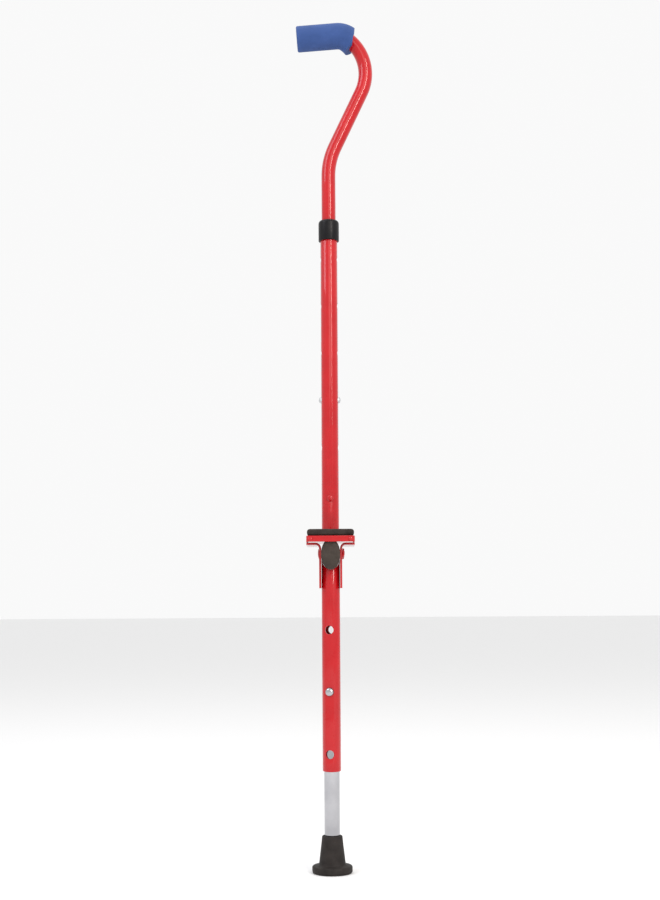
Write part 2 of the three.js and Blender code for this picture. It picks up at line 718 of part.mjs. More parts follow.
function handleGroup() {
  const group = new THREE.Group();
  group.position.y = POLE_Y;
  group.add(piece("handle_tube", handleTube(), "red"));
  group.add(piece("foam_grip", foamGrip(), "foam"));

  const plug = piece("handle_end_plug", handleEndPlug(), "plastic");
  plug.position.copy(handleEnd.point);
  plug.rotation.y = -radians(GRIP_SLOPE);
  group.add(plug);

  const spring = piece("handle_snap_spring", snapSpring(HANDLE_BUTTON.inner - GAP, 5, 34, 5), "steel");
  spring.position.z = HANDLE_BUTTON_Z;
  group.add(spring);

  const sides = { handle_button_right: 1, handle_button_left: -1 };
  for (const [name, side] of Object.entries(sides)) {
    const button = piece(name, springButton(HANDLE_BUTTON), "steel");
    button.position.z = HANDLE_BUTTON_Z;
    button.rotation.y = (side * Math.PI) / 2;
    group.add(button);
  }
  return group;
}

const group = new THREE.Group();
group.add(legGroup(), frameGroup(), poleGroup(), handleGroup());

export default group;
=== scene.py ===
import math

import bmesh
import bpy
from mathutils import Matrix, Vector


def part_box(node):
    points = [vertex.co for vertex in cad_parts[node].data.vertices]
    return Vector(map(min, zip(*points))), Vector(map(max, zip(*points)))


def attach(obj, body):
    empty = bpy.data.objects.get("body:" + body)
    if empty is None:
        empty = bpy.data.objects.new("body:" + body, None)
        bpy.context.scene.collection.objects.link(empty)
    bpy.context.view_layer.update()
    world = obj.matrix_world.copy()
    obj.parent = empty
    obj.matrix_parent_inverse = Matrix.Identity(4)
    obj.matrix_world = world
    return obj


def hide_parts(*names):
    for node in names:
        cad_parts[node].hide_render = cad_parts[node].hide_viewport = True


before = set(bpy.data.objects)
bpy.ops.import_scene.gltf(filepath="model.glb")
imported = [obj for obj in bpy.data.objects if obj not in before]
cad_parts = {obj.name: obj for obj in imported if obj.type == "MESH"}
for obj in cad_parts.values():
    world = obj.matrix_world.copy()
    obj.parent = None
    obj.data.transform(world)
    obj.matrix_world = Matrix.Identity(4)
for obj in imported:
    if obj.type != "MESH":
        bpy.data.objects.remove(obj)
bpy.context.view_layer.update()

# Every length below is in millimetres, and becomes metres where a mesh is made.
MM = 0.001
GAP = 0.3
ROUND = 96  # sides of a large round piece
SMALL_ROUND = 48
SMOOTH_ANGLE = math.radians(38)


def box_mm(node):
    low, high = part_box(node)
    return Vector(low) / MM, Vector(high) / MM


# ---- Sizes read from the frame -----------------------------------------------------------

sleeve_low, sleeve_high = box_mm("leg_sleeve")
TUBE_RADIUS = (sleeve_high.x - sleeve_low.x) / 2
TUBE_BORE = 9.75
leg_low, leg_high = box_mm("leg_tube")
INNER_RADIUS = (leg_high.x - leg_low.x) / 2
INNER_BORE = 8.1
pole_low, pole_high = box_mm("pole_tube")
POLE_Y = (pole_low.y + pole_high.y) / 2
beam_low, beam_high = box_mm("foot_beam")
BEAM_Z = (beam_low.z + beam_high.z) / 2
BEAM_HALF_WIDTH = beam_high.x
BEAM_HALF_HEIGHT = (beam_high.z - beam_low.z) / 2
BEAM_WALL = 1.5
plate_low, plate_high = box_mm("platform_plate")
DECK_BACK = 58
pad_low, pad_high = box_mm("platform_pad")
gusset_low, gusset_high = box_mm("right_gusset")
front_button_low, front_button_high = box_mm("leg_button_front")
LEG_BUTTON_Z = (front_button_low.z + front_button_high.z) / 2
LEG_HOLE_RADIUS = 5.1
LEG_TURN = math.radians(-12)  # the leg's buttons face a little left of straight ahead
LEG_HOLE_PITCH = 73.5
side_button_low, side_button_high = box_mm("handle_button_right")
HANDLE_BUTTON_Z = (side_button_low.z + side_button_high.z) / 2
POLE_HOLE_RADIUS = 4.3
POLE_HOLE_PITCH = 62
rivet_low, rivet_high = box_mm("spigot_rivet")
SPIGOT_RIVET_Z = (rivet_low.z + rivet_high.z) / 2
handle_low, handle_high = box_mm("handle_tube")
collar_low, collar_high = box_mm("lock_collar")
BRACKET_BOLT_YS = {"front_bracket": -17, "rear_bracket": 17}
BRACKET_BOLT_Z = BEAM_Z + 2
NUT_HEIGHT = 2.2
SCREW_YS = (-33, 42)
RIM_RIVET_X = 23.8
RIM_RIVET_Z = 392.2

# The handle's path, as runs and bends in the XZ plane
NECK_START = 877
NECK_RADIUS = 95
NECK_LEAN = 25.2
NECK_LENGTH = 82.5
SHOULDER_RADIUS = 62
SHOULDER_TURN = 75.2
GRIP_SLOPE = 4.5
CROOK_RADIUS = 22
CROOK_TURN = 40 + GRIP_SLOPE
HANDLE_END_X = -37.2
GRIP_RADIUS = 16.98
HANDLE_RADIUS = INNER_RADIUS - 0.05
GRIP_END_X = -41.2
GRIP_MOUTH_X = 34.4
GRIP_MOUTH_LEAN = 8


# ---- Mesh tools --------------------------------------------------------------------------

def new_piece(name, vertices, faces):
    """A mesh object from millimetre vertices, with its faces pointing out."""
    mesh = bpy.data.meshes.new(name)
    mesh.from_pydata([Vector(v) * MM for v in vertices], [], faces)
    obj = bpy.data.objects.new(name, mesh)
    bpy.context.scene.collection.objects.link(obj)
    face_out(obj)
    return obj


def face_out(obj):
    work = bmesh.new()
    work.from_mesh(obj.data)
    bmesh.ops.remove_doubles(work, verts=work.verts, dist=1e-7)
    bmesh.ops.recalc_face_normals(work, faces=work.faces)
    work.to_mesh(obj.data)
    work.free()


def apply_modifiers(obj):
    graph = bpy.context.evaluated_depsgraph_get()
    mesh = bpy.data.meshes.new_from_object(obj.evaluated_get(graph))
    obj.modifiers.clear()
    spent = obj.data
    obj.data = mesh
    bpy.data.meshes.remove(spent)


def boolean(obj, tools, operation="DIFFERENCE"):
    """Cuts, joins or keeps the common part of obj and each tool. The tools are used up."""
    for tool in tools:
        step = obj.modifiers.new("boolean", "BOOLEAN")
        step.operation = operation
        step.solver = "EXACT"
        step.object = tool
        apply_modifiers(obj)
        bpy.data.meshes.remove(tool.data)
    return obj


def soften(obj, width, segments=3, angle=32):
    """Rounds the sharp edges by that many millimetres."""
    if width > 0:
        step = obj.modifiers.new("bevel", "BEVEL")
        step.width = width * MM
        step.segments = segments
        step.limit_method = "ANGLE"
        step.angle_limit = math.radians(angle)
        step.use_clamp_overlap = True
        apply_modifiers(obj)
    obj.data.shade_smooth()
    obj.data.set_sharp_from_angle(angle=SMOOTH_ANGLE)
    return obj


def turned(name, profile, sides=ROUND, closed=False):
    """A solid turned about +Z from [radius, z] pairs. A closed profile makes a ring."""
    vertices = []
    rings = []
    for radius, z in profile:
        if radius == 0:
            rings.append([len(vertices)])
            vertices.append((0, 0, z))
            continue
        ring = []
        for side in range(sides):
            angle = 2 * math.pi * side / sides
            ring.append(len(vertices))
            vertices.append((radius * math.cos(angle), radius * math.sin(angle), z))
        rings.append(ring)
    faces = []
    pairs = list(zip(rings, rings[1:]))
    if closed:
        pairs.append((rings[-1], rings[0]))
    for first, second in pairs:
        for side in range(sides):
            after = (side + 1) % sides
            if len(first) == 1:
                faces.append((first[0], second[side], second[after]))
            elif len(second) == 1:
                faces.append((first[side], second[0], first[after]))
            else:
                faces.append((first[side], second[side], second[after], first[after]))
    return new_piece(name, vertices, faces)


def rod(radius, low, high, sides=SMALL_ROUND):
    return turned("tool", [(0, low), (radius, low), (radius, high), (0, high)], sides)


def moved(obj, matrix):
    """Moves the mesh itself, because every piece's object stays at the origin."""
    obj.data.transform(matrix)
    face_out(obj)
    return obj


def shifted(obj, x=0, y=0, z=0):
    return moved(obj, Matrix.Translation(Vector((x, y, z)) * MM))


def cross_rod(axis, radius, reach, y, z, sides=SMALL_ROUND):
    """A rod along X or Y through the given place."""
    turn = Matrix.Rotation(math.pi / 2, 4, "Y" if axis == "x" else "X")
    return shifted(moved(rod(radius, -reach, reach, sides), turn), 0, y, z)


def prism(name, outline, low, high):
    """A flat outline of [x, y] pairs, raised from one height to another."""
    count = len(outline)
    vertices = [(x, y, low) for x, y in outline] + [(x, y, high) for x, y in outline]
    faces = [tuple(range(count)), tuple(range(count, 2 * count))]
    for i in range(count):
        j = (i + 1) % count
        faces.append((i, j, count + j, count + i))
    return new_piece(name, vertices, faces)


def arc(x, y, radius, start, end, steps=8):
    points = []
    for step in range(steps + 1):
        angle = math.radians(start + (end - start) * step / steps)
        points.append((x + radius * math.cos(angle), y + radius * math.sin(angle)))
    return points


def rounded_rectangle(left, right, front, back, front_radius, back_radius):
    points = arc(right - front_radius, front + front_radius, front_radius, -90, 0)
    points += arc(right - back_radius, back - back_radius, back_radius, 0, 90)
    points += arc(left + back_radius, back - back_radius, back_radius, 90, 180)
    points += arc(left + front_radius, front + front_radius, front_radius, 180, 270)
    return points


def oval_body(name, profile, y, facing=1):
    """Oval rings about the beam's axis, from [inset, distance along Y] pairs."""
    vertices = []
    for inset, along in profile:
        for side in range(ROUND):
            angle = 2 * math.pi * side / ROUND
            x = (BEAM_HALF_WIDTH - inset) * math.cos(angle)
            z = (BEAM_HALF_HEIGHT - inset) * math.sin(angle)
            vertices.append((x, y + facing * along, BEAM_Z + z))
    faces = []
    last = len(profile) - 1
    for ring in range(last):
        for side in range(ROUND):
            after = (side + 1) % ROUND
            low = ring * ROUND
            faces.append((low + side, low + after, low + ROUND + after, low + ROUND + side))
    faces.append(tuple(range(ROUND)))
    faces.append(tuple(range(last * ROUND, (last + 1) * ROUND)))
    return new_piece(name, vertices, faces)


def stations_along(x, z, runs):
    """[x, z, heading] along runs in the XZ plane, the heading in radians from +Z to +X."""
    heading = 0
    stations = [(x, z, heading)]
    for radius, turn, length, steps in runs:
        bend = math.radians(turn) / steps
        chord = 2 * radius * math.sin(abs(bend) / 2) if turn else length / steps
        for _ in range(steps):
            heading += bend / 2
            x += chord * math.sin(heading)
            z += chord * math.cos(heading)
            heading += bend / 2
            stations.append((x, z, heading))
    return stations


def swept(name, stations, radii, sides=ROUND, closed=False):
    """Rings of the given radii across a path. A closed one joins its last ring to its first."""
    vertices = []
    for (x, z, heading), radius in zip(stations, radii):
        for side in range(sides):
            angle = 2 * math.pi * side / sides
            out = radius * math.cos(angle)
            across = x + out * math.cos(heading)
            up = z - out * math.sin(heading)
            vertices.append((across, radius * math.sin(angle), up))
    faces = []
    count = len(stations)
    for ring in range(count if closed else count - 1):
        low = ring * sides
        high = ((ring + 1) % count) * sides
        for side in range(sides):
            after = (side + 1) % sides
            faces.append((low + side, low + after, high + after, high + side))
    if not closed:
        faces.append(tuple(range(sides)))
        faces.append(tuple(range((count - 1) * sides, count * sides)))
    return new_piece(name, vertices, faces)


# ---- Materials ---------------------------------------------------------------------------

class Look:
    """A Principled material and short names for building its nodes."""

    def __init__(self, name, roughness, metallic=0.0, **sockets):
        self.material = bpy.data.materials.new(name)
        self.material.use_nodes = True
        self.nodes = self.material.node_tree.nodes
        self.links = self.material.node_tree.links
        self.shader = self.nodes["Principled BSDF"]
        self.shader.inputs["Metallic"].default_value = metallic
        self.shader.inputs["Roughness"].default_value = roughness
        for socket, value in sockets.items():
            self.shader.inputs[socket.replace("_", " ")].default_value = value
        self.place = self.nodes.new("ShaderNodeTexCoord").outputs["Object"]

    def noise(self, scale, detail=3.0, stretch=(1, 1, 1)):
        mapping = self.nodes.new("ShaderNodeMapping")
        mapping.inputs["Scale"].default_value = stretch
        texture = self.nodes.new("ShaderNodeTexNoise")
        texture.inputs["Scale"].default_value = scale
        texture.inputs["Detail"].default_value = detail
        self.links.new(self.place, mapping.inputs["Vector"])
        self.links.new(mapping.outputs["Vector"], texture.inputs["Vector"])
        return texture.outputs["Fac"]

    def cells(self, scale):
        texture = self.nodes.new("ShaderNodeTexVoronoi")
        texture.inputs["Scale"].default_value = scale
        self.links.new(self.place, texture.inputs["Vector"])
        return texture.outputs["Distance"]

    def ramp(self, factor, stops):
        ramp = self.nodes.new("ShaderNodeValToRGB")
        elements = ramp.color_ramp.elements
        while len(elements) < len(stops):
            elements.new(0.5)
        for element, (position, color) in zip(elements, stops):
            element.position = position
            element.color = (*color, 1)
        self.links.new(factor, ramp.inputs["Fac"])
        return ramp.outputs["Color"]

    def span(self, factor, low, high, start=0.3, end=0.7):
        """The factor's middle range, spread from low to high."""
        spread = self.nodes.new("ShaderNodeMapRange")
        spread.inputs["From Min"].default_value = start
        spread.inputs["From Max"].default_value = end
        spread.inputs["To Min"].default_value = low
        spread.inputs["To Max"].default_value = high
        self.links.new(factor, spread.inputs["Value"])
        return spread.outputs["Result"]

    def color(self, output):
        self.links.new(output, self.shader.inputs["Base Color"])

    def roughness(self, output):
        self.links.new(output, self.shader.inputs["Roughness"])

    def bump(self, *layers):
        """Each layer is a height, its depth in millimetres and its strength."""
        normal = None
        for height, depth, strength in layers:
            bump = self.nodes.new("ShaderNodeBump")
            bump.inputs["Distance"].default_value = depth * MM
            bump.inputs["Strength"].default_value = strength
            self.links.new(height, bump.inputs["Height"])
            if normal:
                self.links.new(normal, bump.inputs["Normal"])
            normal = bump.outputs["Normal"]
        self.links.new(normal, self.shader.inputs["Normal"])


def red_paint():
    look = Look("red_paint", 0.36, Coat_Weight=1.0, Coat_Roughness=0.04, Coat_IOR=1.4)
    look.shader.inputs["Specular IOR Level"].default_value = 0.1
    shade = look.noise(35, 4)
    look.color(look.ramp(shade, [(0.3, (0.42, 0.003, 0.006)), (0.7, (0.49, 0.006, 0.010))]))
    look.roughness(look.span(look.noise(220, 4), 0.24, 0.38))
    look.bump((look.noise(420, 2), 0.006, 0.12), (look.noise(40, 2, (1, 1, 0.3)), 0.03, 0.05))
    return look.material


def chrome():
    look = Look("chrome", 0.1, 1.0)
    shade = look.noise(30, 4)
    look.color(look.ramp(shade, [(0.35, (0.40, 0.40, 0.42)), (0.65, (0.50, 0.50, 0.52))]))
    look.roughness(look.span(look.noise(500, 5, (1, 1, 0.03)), 0.05, 0.13))
    look.bump((look.noise(700, 3, (1, 1, 0.01)), 0.004, 0.12))
    return look.material


def zinc():
    look = Look("zinc_steel", 0.32, 1.0)
    shade = look.cells(600)
    look.color(look.ramp(shade, [(0.2, (0.50, 0.51, 0.53)), (0.8, (0.64, 0.65, 0.66))]))
    look.roughness(look.span(look.noise(300, 4), 0.25, 0.42))
    look.bump((look.noise(1500, 2), 0.01, 0.3))
    return look.material


def tip_rubber():
    look = Look("tip_rubber", 0.62, Specular_IOR_Level=0.2)
    shade = look.noise(90, 5)
    look.color(look.ramp(shade, [(0.3, (0.014, 0.011, 0.010)), (0.7, (0.027, 0.022, 0.020))]))
    look.roughness(look.span(look.noise(400, 4), 0.5, 0.72))
    look.bump((look.noise(1400, 3), 0.06, 0.35), (look.noise(120, 3), 0.15, 0.12))
    return look.material


def tread_rubber():
    look = Look("tread_rubber", 0.78, Specular_IOR_Level=0.2)
    shade = look.noise(150, 5)
    look.color(look.ramp(shade, [(0.3, (0.020, 0.014, 0.012)), (0.7, (0.038, 0.028, 0.024))]))
    look.roughness(look.span(look.noise(500, 4), 0.68, 0.9))
    look.bump((look.noise(1800, 3), 0.09, 0.5))
    return look.material


def plug_rubber():
    look = Look("plug_plastic", 0.6, Specular_IOR_Level=0.2)
    shade = look.noise(160, 4)
    look.color(look.ramp(shade, [(0.3, (0.034, 0.026, 0.021)), (0.7, (0.052, 0.041, 0.034))]))
    look.roughness(look.span(look.noise(500, 4), 0.52, 0.72))
    look.bump((look.noise(1600, 2), 0.06, 0.4))
    return look.material


def collar_plastic():
    look = Look("collar_plastic", 0.34, Specular_IOR_Level=0.2)
    shade = look.noise(120, 4)
    look.color(look.ramp(shade, [(0.3, (0.004, 0.004, 0.005)), (0.7, (0.008, 0.007, 0.008))]))
    look.roughness(look.span(look.noise(450, 4), 0.28, 0.42))
    look.bump((look.noise(2200, 2), 0.03, 0.35))
    return look.material


def nylon():
    look = Look("natural_nylon", 0.5)
    shade = look.noise(80, 3)
    look.color(look.ramp(shade, [(0.3, (0.62, 0.60, 0.54)), (0.7, (0.74, 0.72, 0.67))]))
    look.bump((look.noise(1200, 2), 0.03, 0.3))
    return look.material


def blue_foam():
    look = Look("blue_foam", 0.88, Sheen_Weight=0.1, Sheen_Roughness=0.6)
    look.shader.inputs["Sheen Tint"].default_value = (0.45, 0.58, 0.9, 1)
    shade = look.noise(60, 5)
    broad = look.ramp(shade, [(0.3, (0.020, 0.058, 0.200)), (0.7, (0.032, 0.078, 0.255))])
    # Painted shade: the colour is darkened towards each pore's centre, standing in for the shade inside the
    # pores
    pores = look.cells(2300)
    depth = look.ramp(pores, [(0.05, (0.62, 0.64, 0.70)), (0.45, (1.0, 1.0, 1.0))])
    mix = look.nodes.new("ShaderNodeMix")
    mix.data_type = "RGBA"
    mix.blend_type = "MULTIPLY"
    mix.inputs["Factor"].default_value = 1.0
    colours = [socket for socket in mix.inputs if socket.type == "RGBA"]
    look.links.new(broad, colours[0])
    look.links.new(depth, colours[1])
    look.color([socket for socket in mix.outputs if socket.type == "RGBA"][0])
    look.bump((pores, 0.12, 0.55), (look.noise(900, 3), 0.12, 0.35), (look.noise(45, 2), 0.6, 0.12))
    return look.material


LOOKS = {
    "red": red_paint(),
    "chrome": chrome(),
    "zinc": zinc(),
    "tip": tip_rubber(),
    "tread": tread_rubber(),
    "plug": plug_rubber(),
    "collar": collar_plastic(),
    "nylon": nylon(),
    "foam": blue_foam(),
}


def paint(obj, look):
    obj.data.materials.clear()
    obj.data.materials.append(LOOKS[look])


def finish_piece(obj, look, body, slot, *nodes):
    paint(obj, look)
    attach(obj, body)
    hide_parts(*nodes)


# ---- Leg ---------------------------------------------------------------------------------

def make_rubber_tip():
    _, high = box_mm("rubber_tip")
    sole = high.x
    bore = INNER_RADIUS + 0.1
    profile = [(0, 0), (6, 0), (7, 1.8), (10, 1.8), (11, 0), (14, 0), (15, 1.8), (18, 1.8), (19, 0)]
    profile += [(sole - 1.8, 0), (sole - 0.7, 0.6), (sole - 0.1, 1.9), (sole, 3.0), (sole - 0.1, 7.0)]
    profile += [(sole - 0.5, 7.9), (sole - 1.5, 8.5), (17.6, 9.3), (16.3, 9.9), (15.8, 11.2), (15.4, 14)]
    profile += [(14.25, 24), (13.0, 34), (12.35, high.z - 2.2), (12.1, high.z - 0.9), (11.4, high.z)]
    profile += [(bore + 0.3, high.z), (bore, high.z - 0.4), (bore, 9.8), (0, 9.8)]
    tip = turned("tip_moulding", profile)
    soften(tip, 0.35, 2, 25)
    finish_piece(tip, "tip", "leg", "black_rubber", "rubber_tip")


def make_leg_tube():
    profile = [(INNER_BORE, leg_low.z), (INNER_RADIUS, leg_low.z)]
    profile += [(INNER_RADIUS, leg_high.z), (INNER_BORE, leg_high.z)]
    tube = turned("leg_chrome_tube", profile, closed=True)
    hole = cross_rod("y", LEG_HOLE_RADIUS, 20, 0, LEG_BUTTON_Z)
    moved(hole, Matrix.Rotation(LEG_TURN, 4, "Z"))
    boolean(tube, [hole])
    soften(tube, 0.3, 2)
    finish_piece(tube, "chrome", "leg", "chrome", "leg_tube")


LEG_BUTTON = (4.8, 5.4, 4.75, 14.1)
HANDLE_BUTTON = (4.0, 4.6, 5.2, 14.0)


def dome_button(name, node, sizes, heading, look, slot):
    """A spring button across its tube, its heading turned from straight ahead."""
    radius, flange, inner, tip = sizes
    dome = 2.4
    profile = [(0, inner), (flange, inner), (flange, inner + 0.7)]
    profile += [(radius, inner + 0.7), (radius, tip - dome)]
    for step in range(1, 12):
        angle = step / 12 * math.pi / 2
        profile.append((radius * math.cos(angle), tip - dome + dome * math.sin(angle)))
    profile.append((0, tip))
    button = turned(name, profile, SMALL_ROUND)
    moved(button, Matrix.Rotation(math.pi / 2, 4, "X"))
    moved(button, Matrix.Rotation(heading, 4, "Z"))
    low, high = box_mm(node)
    y = POLE_Y if node.startswith("handle") else 0
    shifted(button, 0, y, (low.z + high.z) / 2)
    soften(button, 0.15, 2, 40)
    finish_piece(button, look, node, slot, node)


# ---- Frame -------------------------------------------------------------------------------

def make_leg_sleeve():
    bottom = sleeve_low.z
    mouth = TUBE_RADIUS - 1.0
    profile = [(TUBE_BORE, bottom), (mouth, bottom)]
    profile += [(TUBE_RADIUS - 0.35, bottom + 0.5), (TUBE_RADIUS, bottom + 1.6)]
    profile += [(TUBE_RADIUS, sleeve_high.z), (TUBE_BORE, sleeve_high.z)]
    tube = turned("sleeve_tube", profile, closed=True)
    tools = []
    for place in (-1, 0, 1):
        hole = cross_rod("y", LEG_HOLE_RADIUS, 20, 0, LEG_BUTTON_Z + place * LEG_HOLE_PITCH)
        tools.append(moved(hole, Matrix.Rotation(LEG_TURN, 4, "Z")))
    tools.append(oval_body("tool", [(-GAP, -30), (-GAP, 30)], 0))
    boolean(tube, tools)
    soften(tube, 0.35, 3)
    finish_piece(tube, "red", "frame", "red_paint", "leg_sleeve")


def make_beam():
    beam = oval_body("oval_beam", [(0, beam_low.y), (0, beam_high.y)], 0)
    tools = [oval_body("tool", [(BEAM_WALL, beam_low.y - 1), (BEAM_WALL, beam_high.y + 1)], 0)]
    for y in BRACKET_BOLT_YS.values():
        tools.append(cross_rod("x", 3.4, 20, y, BRACKET_BOLT_Z))
    for y in SCREW_YS:
        tools.append(shifted(rod(2.9, 0, 30), 0, y, BEAM_Z))
    tools.append(shifted(rod(4.4, -30, 30), 0, POLE_Y, BEAM_Z))
    boolean(beam, tools)
    soften(beam, 0.3, 2)
    finish_piece(beam, "red", "frame", "red_paint", "foot_beam")


def make_plug(name, node, y, facing):
    """An oval plug whose face is slightly crowned. Facing is the way its spigot points."""
    inset = BEAM_WALL + 0.35
    profile = [(inset + 1.6, 7), (inset, 7), (inset, -GAP), (-0.2, -GAP)]
    profile += [(-0.4, -0.8), (-0.2, -1.6), (0.4, -2.3)]
    profile += [(1.3, -2.7), (3.0, -2.88), (6.0, -2.97), (9.0, -3.0)]
    plug = oval_body(name, profile, y, facing)
    soften(plug, 0, 0)
    finish_piece(plug, "plug", "frame", "black_plastic", node)


def curve(start, control, end, steps):
    """Points after the start along a quadratic curve."""
    points = []
    for step in range(1, steps + 1):
        t = step / steps
        a, b, c = (1 - t) ** 2, 2 * t * (1 - t), t ** 2
        points.append(tuple(a * p + b * q + c * r for p, q, r in zip(start, control, end)))
    return points


def make_gusset(side):
    """An angle that hugs the beam and the sleeve, its flange under the plate."""
    inner = gusset_low.x
    sheet = 2.5
    outer = inner + sheet
    bend = 4
    top = gusset_high.z
    under = top - sheet
    edge = gusset_high.x
    section = [(inner, gusset_low.z), (outer, gusset_low.z)]
    section += arc(outer + bend, under - bend, bend, 180, 90, 12)
    section += [(edge, under), (edge, top)]
    section += arc(outer + bend, under - bend, bend + sheet, 90, 180, 12)
    depth = gusset_high.y
    bar = prism("gusset", section, -depth, depth)
    moved(bar, Matrix.Rotation(math.pi / 2, 4, "X"))

    foot = TUBE_RADIUS + 1
    shoulder = depth - 1
    low = gusset_low.z
    outline = [(-foot, low - 1), (foot, low - 1), (foot + 2, low + 15)]
    outline += curve(outline[-1], (foot + 4, BEAM_Z - 6), (shoulder, under - 6), 14)
    outline += [(shoulder + 2, top + 1), (-shoulder - 2, top + 1), (-shoulder, under - 6)]
    outline += curve(outline[-1], (-foot - 4, BEAM_Z - 6), (-foot - 2, low + 15), 14)
    blank = prism("tool", outline, -5, 60)
    swap = Matrix(((0, 0, 1, 0), (1, 0, 0, 0), (0, 1, 0, 0), (0, 0, 0, 1)))
    moved(blank, swap)
    boolean(bar, [blank], "INTERSECT")
    boolean(bar, [cross_rod("x", 3.4, 40, y, BRACKET_BOLT_Z) for y in BRACKET_BOLT_YS.values()])
    if side < 0:
        moved(bar, Matrix.Diagonal((-1, 1, 1, 1)))
    soften(bar, 0.5, 3)
    node = "right_gusset" if side > 0 else "left_gusset"
    bar.name = node + "_pressing"
    finish_piece(bar, "red", "frame", "red_paint", node)


def make_plate():
    half = plate_high.x
    front = plate_low.y
    top = plate_high.z
    rim = plate_low.z
    under = top - 3
    wall = 2.4
    deck = prism("pressed_plate", rounded_rectangle(-half, half, front, DECK_BACK, 5, 8), rim, top)
    hollow = rounded_rectangle(-half + wall, half - wall, front + wall, DECK_BACK + 20, 3, 3)
    back = rounded_rectangle(-40, 40, DECK_BACK - 12, DECK_BACK + 20, 1, 1)
    tongue = prism("tool", rounded_rectangle(-17, 17, 0, plate_high.y, 2, 12), under, top)
    boolean(deck, [prism("tool", hollow, rim - 1, under), prism("tool", back, rim - 1, under)])
    boolean(deck, [tongue], "UNION")
    sink = [(0, under - 1), (2.9, under - 1), (2.9, under + 0.6)]
    sink += [(5.6, top + GAP), (5.6, top + 2), (0, top + 2)]
    tools = [shifted(turned("tool", sink, SMALL_ROUND), 0, y, 0) for y in SCREW_YS]
    tools.append(shifted(rod(4.4, under - 1, top + 1), 0, POLE_Y, 0))
    for side in (-1, 1):
        tools.append(shifted(cross_rod("y", 1.7, 3, front, RIM_RIVET_Z), side * RIM_RIVET_X))
    boolean(deck, tools)
    soften(deck, 0.9, 4)
    finish_piece(deck, "red", "frame", "red_paint", "platform_plate")


def make_pad():
    half = pad_high.x
    front = pad_low.y
    back = pad_high.y
    top = pad_high.z
    crown = 3.2
    outline = rounded_rectangle(-half, half, front, back, 5, 7)
    pad = prism("tread_pad", outline, pad_low.z, top)
    edge = pad.modifiers.new("bevel", "BEVEL")
    edge.width = crown * MM
    edge.segments = 6
    edge.limit_method = "ANGLE"
    edge.angle_limit = math.radians(50)
    apply_modifiers(pad)
    pitch = 5.2
    groove = 1.5
    count = int((back - front - 14) / pitch)
    first = (front + back) / 2 - (count - 1) * pitch / 2
    grooves = []
    for row in range(count):
        y = first + row * pitch
        if abs(y) < pitch / 2:
            continue
        bar = rounded_rectangle(-half + 6, half - 6, y - groove / 2, y + groove / 2, 0.7, 0.7)
        grooves.append(prism("tool", bar, top - 0.9, top + 1))
    boolean(pad, grooves)
    soften(pad, 0, 0)
    finish_piece(pad, "tread", "frame", "black_rubber", "platform_pad")


def make_bracket_fasteners(prefix, y):
    face = TUBE_RADIUS + 2.5 + 2 * GAP
    end = face + NUT_HEIGHT
    profile = [(0, -face - 1.3), (2.0, -face - 1.25), (3.6, -face - 1.0)]
    profile += [(4.8, -face - 0.65), (5.4, -face - 0.3)]
    profile += [(5.5, -face), (3, -face), (3, end), (2.4, end + 0.5), (0, end + 0.5)]
    bolt = turned(prefix + "_round_bolt", profile, SMALL_ROUND)
    moved(bolt, Matrix.Rotation(math.pi / 2, 4, "Y"))
    shifted(bolt, 0, y, BRACKET_BOLT_Z)
    soften(bolt, 0.2, 2)
    finish_piece(bolt, "red", "frame", "red_paint", prefix + "_bolt")

    hexagon = turned(prefix + "_hex_nut", [(0, face), (5.77, face), (5.77, end), (0, end)], 6)
    chamfer = [(0, face - 1), (6.2, face - 1), (6.2, end - 0.8), (5.0, end), (5.0, end + 1), (0, end + 1)]
    boolean(hexagon, [turned("tool", chamfer, SMALL_ROUND)], "INTERSECT")
    boolean(hexagon, [rod(3.2, face - 1, face + 6)])
    moved(hexagon, Matrix.Rotation(math.pi / 2, 4, "Y"))
    shifted(hexagon, 0, y, BRACKET_BOLT_Z)
    soften(hexagon, 0.25, 2)
    finish_piece(hexagon, "red", "frame", "red_paint", prefix + "_nut")


def make_rim_rivet(side):
    face = GAP - plate_low.y
    profile = [(0, face - 2.8), (1.4, face - 2.8), (1.4, face), (2.6, face), (2.55, face + 0.25)]
    profile += [(2.2, face + 0.6), (1.6, face + 0.9), (0.9, face + 1.12), (0, face + 1.2)]
    node = "right_rim_rivet" if side > 0 else "left_rim_rivet"
    rivet = turned(node + "_head", profile, SMALL_ROUND)
    moved(rivet, Matrix.Rotation(math.pi / 2, 4, "X"))
    shifted(rivet, side * RIM_RIVET_X, 0, RIM_RIVET_Z)
    soften(rivet, 0.08, 2, 40)
    finish_piece(rivet, "red", "frame", "red_paint", node)


# ---- Pole --------------------------------------------------------------------------------

def make_pole():
    profile = [(TUBE_BORE, pole_low.z), (TUBE_RADIUS, pole_low.z)]
    profile += [(TUBE_RADIUS, pole_high.z), (TUBE_BORE, pole_high.z)]
    tube = shifted(turned("upright_tube", profile, closed=True), 0, POLE_Y, 0)
    tools = []
    for place in (-1, 0, 1, 2, 3):
        tools.append(cross_rod("x", POLE_HOLE_RADIUS, 20, POLE_Y, HANDLE_BUTTON_Z + place * POLE_HOLE_PITCH))
    tools.append(cross_rod("y", 3, 20, POLE_Y, SPIGOT_RIVET_Z))
    boolean(tube, tools)
    soften(tube, 0.35, 3)
    finish_piece(tube, "red", "frame", "red_paint", "pole_tube")


